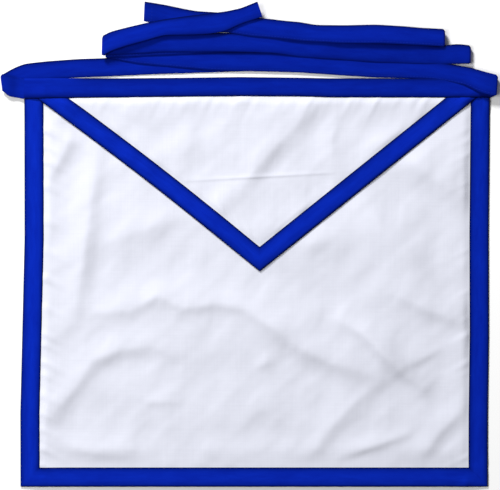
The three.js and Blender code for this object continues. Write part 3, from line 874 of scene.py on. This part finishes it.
right_runs = [
    [
        (0.509, 0.07, -0.96, 1.12, 2, 0),
    ],
    [
        (0.509, 0.07, -0.96, 1.12, 5.2, 0.6),
        (0.496, 0, -0.94, 1.19, 5.6, 0.4),
        (0.479, 0, -0.81, 1.19, 5.2, 0.2),
        (0.463, 0, -0.61, 1.12, 4.1, 0),
        (0.448, 0, -0.39, 1.00, 2.9, 0.3),
        (0.425, 0, -0.28, 0.97, 2.0, 0.6),
        (0.394, 0, -0.12, 0.99, 1.6, 0.2),
        (0.370, 0, -0.06, 1.02, 1.4, 0),
        (0.345, 0, -0.02, 1.01, 1.2, 0),
        (0.320, 0, 0.00, 1.02, 1, 0.1),
        (0.259, 0, 0.03, 1.02, 0.8, 0.2),
        (0.188, 0, 0.14, 1.00, 0.7, 0.3),
        (0.091, 0, 0.31, 1.05, 0.7, 0.3),
        (0.027, 0, 0.36, 1.10, 0.7, 0.3),
        (-0.064, 0, 0.40, 1.05, 0.7, 0.3),
        (-0.113, 0, 0.45, 1.00, 0.8, 0.2),
        (-0.254, 0, 0.78, 1.00, 1, 0),
        (-0.324, 0, 1.10, 1.00, 1, 0),
    ],
    [
        (-0.324, 0, 1.10, 1.00, 2, 0),
        (-0.209, 0, 1.25, 1.00, 2, 0),
        (-0.064, 0, 1.40, 0.99, 2, 0),
        (0.091, 0, 1.55, 0.99, 1.5, 0.5),
        (0.246, 0, 1.64, 0.97, 1.2, 0.8),
        (0.398, 0, 1.72, 0.93, 2, 0),
    ],
    [
        (0.398, 0, 1.70, 0.95, 5.2, -0.2),
        (0.350, 0, 1.77, 0.94, 5.7, -0.7),
        (0.318, 0, 1.80, 0.99, 6.2, -1.3),
        (0.285, 0, 1.84, 1.00, 6.4, -1.5),
        (0.253, 0, 1.86, 1.03, 6.3, -1.5),
        (0.188, 0, 1.87, 0.98, 5.7, -1.1),
        (0.124, 0, 1.95, 0.92, 4.9, -0.6),
        (0.091, 0, 1.99, 1.04, 4.5, -0.2),
        (0.059, 0, 2.10, 0.99, 4.6, 0),
        (0.027, 0, 2.18, 1.02, 4.2, 0),
        (-0.016, 0, 2.27, 1.04, 4, 0),
        (-0.070, 0, 2.49, 1.04, 4, 0),
        (-0.135, 0, 2.62, 1.01, 3.8, 0.5),
        (-0.167, 0, 2.75, 1.04, 3.5, 1.2),
        (-0.199, 0, 2.89, 1.07, 3.2, 2),
        (-0.244, 0.06, 3.09, 1.04, 3.0, 2.8),
    ],
]


def run_edges(rows):
    x, lean, rise, span, layer, tip = np.array(rows, dtype=float).T
    y = apron_height + rise * tape_width
    near = np.stack([x * apron_width, y, tie_lowest + layer * tie_pitch], axis=1)
    return near, near + np.stack([lean * tape_width, span * tape_width, tip * tie_pitch], axis=1)


def resample(near, far):
    """Places close together along a run, with its bends eased."""
    if len(near) == 1:
        return near, far
    passed = distances((near + far) / 2)
    places = np.linspace(0, passed[-1], max(2, round(passed[-1] / tie_step)) + 1)
    eased = []
    for edge in (near, far):
        line = between(edge, passed, places)
        for _ in range(easing_passes):
            line[1:-1] = (line[:-2] + 2 * line[1:-1] + line[2:]) / 4
        eased.append(line)
    return eased


def turn_over(near, far, next_near, next_far, side):
    """A fold: both edges turn half a circle about the fold line, with its corners drawn in."""
    fold_line = (far - near) * np.array([1, 1, 0])
    length = np.linalg.norm(fold_line)
    fold_line /= length
    out = np.array([fold_line[1], -fold_line[0], 0]) * side
    edges = ([], [])
    ends = ((near, next_near), (far, next_far))
    for angle in np.linspace(0, math.pi, fold_steps)[1:-1]:
        for edge, (start, end), pull in zip(edges, ends, fold_pulls):
            radius = min(abs(end[2] - start[2]) / 2, fold_bulge)
            share = (1 - math.cos(angle)) / 2
            drawn_in = fold_line * pull * math.sin(angle)
            edge.append(start + (end - start) * share + out * radius * math.sin(angle) + drawn_in)
    return np.array(edges[0]), np.array(edges[1])


def tie(name, side, runs):
    """A tie from its end of the waistband, -1 for the left one or 1 for the right one, to its hem."""
    end_x = side_x(side, apron_height)
    root_y = np.array([waist_edge(waist_seam, end_x), waist_edge(waist_fold, end_x)])
    root_front = waist_front(np.full(2, end_x), root_y)
    root_back = edge_back(np.full(2, end_x), root_y)
    root = np.stack([np.full(2, end_x), root_y, (root_front + root_back) / 2], axis=1)
    first_near, first_far = run_edges(runs[0])
    near, far = resample(np.concatenate([root[:1], first_near]), np.concatenate([root[1:], first_far]))
    for k, rows in enumerate(runs[1:]):
        run_near, run_far = resample(*run_edges(rows))
        fold = turn_over(near[-1], far[-1], run_near[0], run_far[0], side if k % 2 == 0 else -side)
        near = np.concatenate([near, fold[0], run_near])
        far = np.concatenate([far, fold[1], run_far])
    passed = distances((near + far) / 2)
    hem_start = passed[-1] - hem_length
    hem = smooth(passed, hem_start - 0.5, hem_start + 0.5)
    root_half = (root_front - root_back).mean() / 2
    half = tie_half + (root_half - tie_half) * (1 - smooth(passed, 0, root_taper)) + hem_swelling * hem
    base, leg, bulge = folded_tape(near, far, tie_layer_thickness, tie_fold_reach)
    outward = np.cross(np.gradient(near / 2 + far / 2, axis=0), near - far)
    outward /= np.linalg.norm(outward, axis=1, keepdims=True)
    outward = outward * (1 if outward[0, 2] > 0 else -1)
    grid = base + outward[:, None] * (leg * half[:, None])[..., None]
    grid[..., 2] += tape_bulge * np.maximum(bulge * outward[:, 2:], 0)
    grid[..., 2] += tie_unevenness * (1 + waves(passed, 0 * passed, 26, tie_seeds[side]))[:, None]
    thickness = column_thickness(tie_layer_thickness) * (1 + hem_thickening * hem[:, None])
    # How strong the painted shade at the tie's edges is, row by row and column by column
    off_fold = np.concatenate([leg_shares, 0 * fold_turns, leg_shares[::-1]])
    from_root = smooth(passed, 0, sewn_lightening)[:, None]
    darkening = smooth(passed, *root_darkening)[:, None] * (1 - sewn_lightness * off_fold * from_root)
    painted_edge_shade = root_edge_shade + (1 - root_edge_shade) * darkening
    piece = cloth(name, grid, thickness, woven_place(grid), waist_cloth, painted_edge_shade)
    hem_row = np.searchsorted(passed, passed[-1] - hem_seam)
    hem_outward = facing(grid)[hem_row]
    hem_face = grid[hem_row] + hem_outward * thickness[hem_row, :, None] / 2
    legs = len(leg_shares)
    hem_seams = [(hem_face[:legs], hem_outward[:legs]), (hem_face[-legs:], hem_outward[-legs:])]
    stitches(name + "_stitches", both_seams(grid, tie_layer_thickness) + hem_seams)
    return piece


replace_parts(tie("left_tie", -1, left_runs), "tie_left")
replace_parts(tie("right_tie", 1, right_runs), "tie_right")
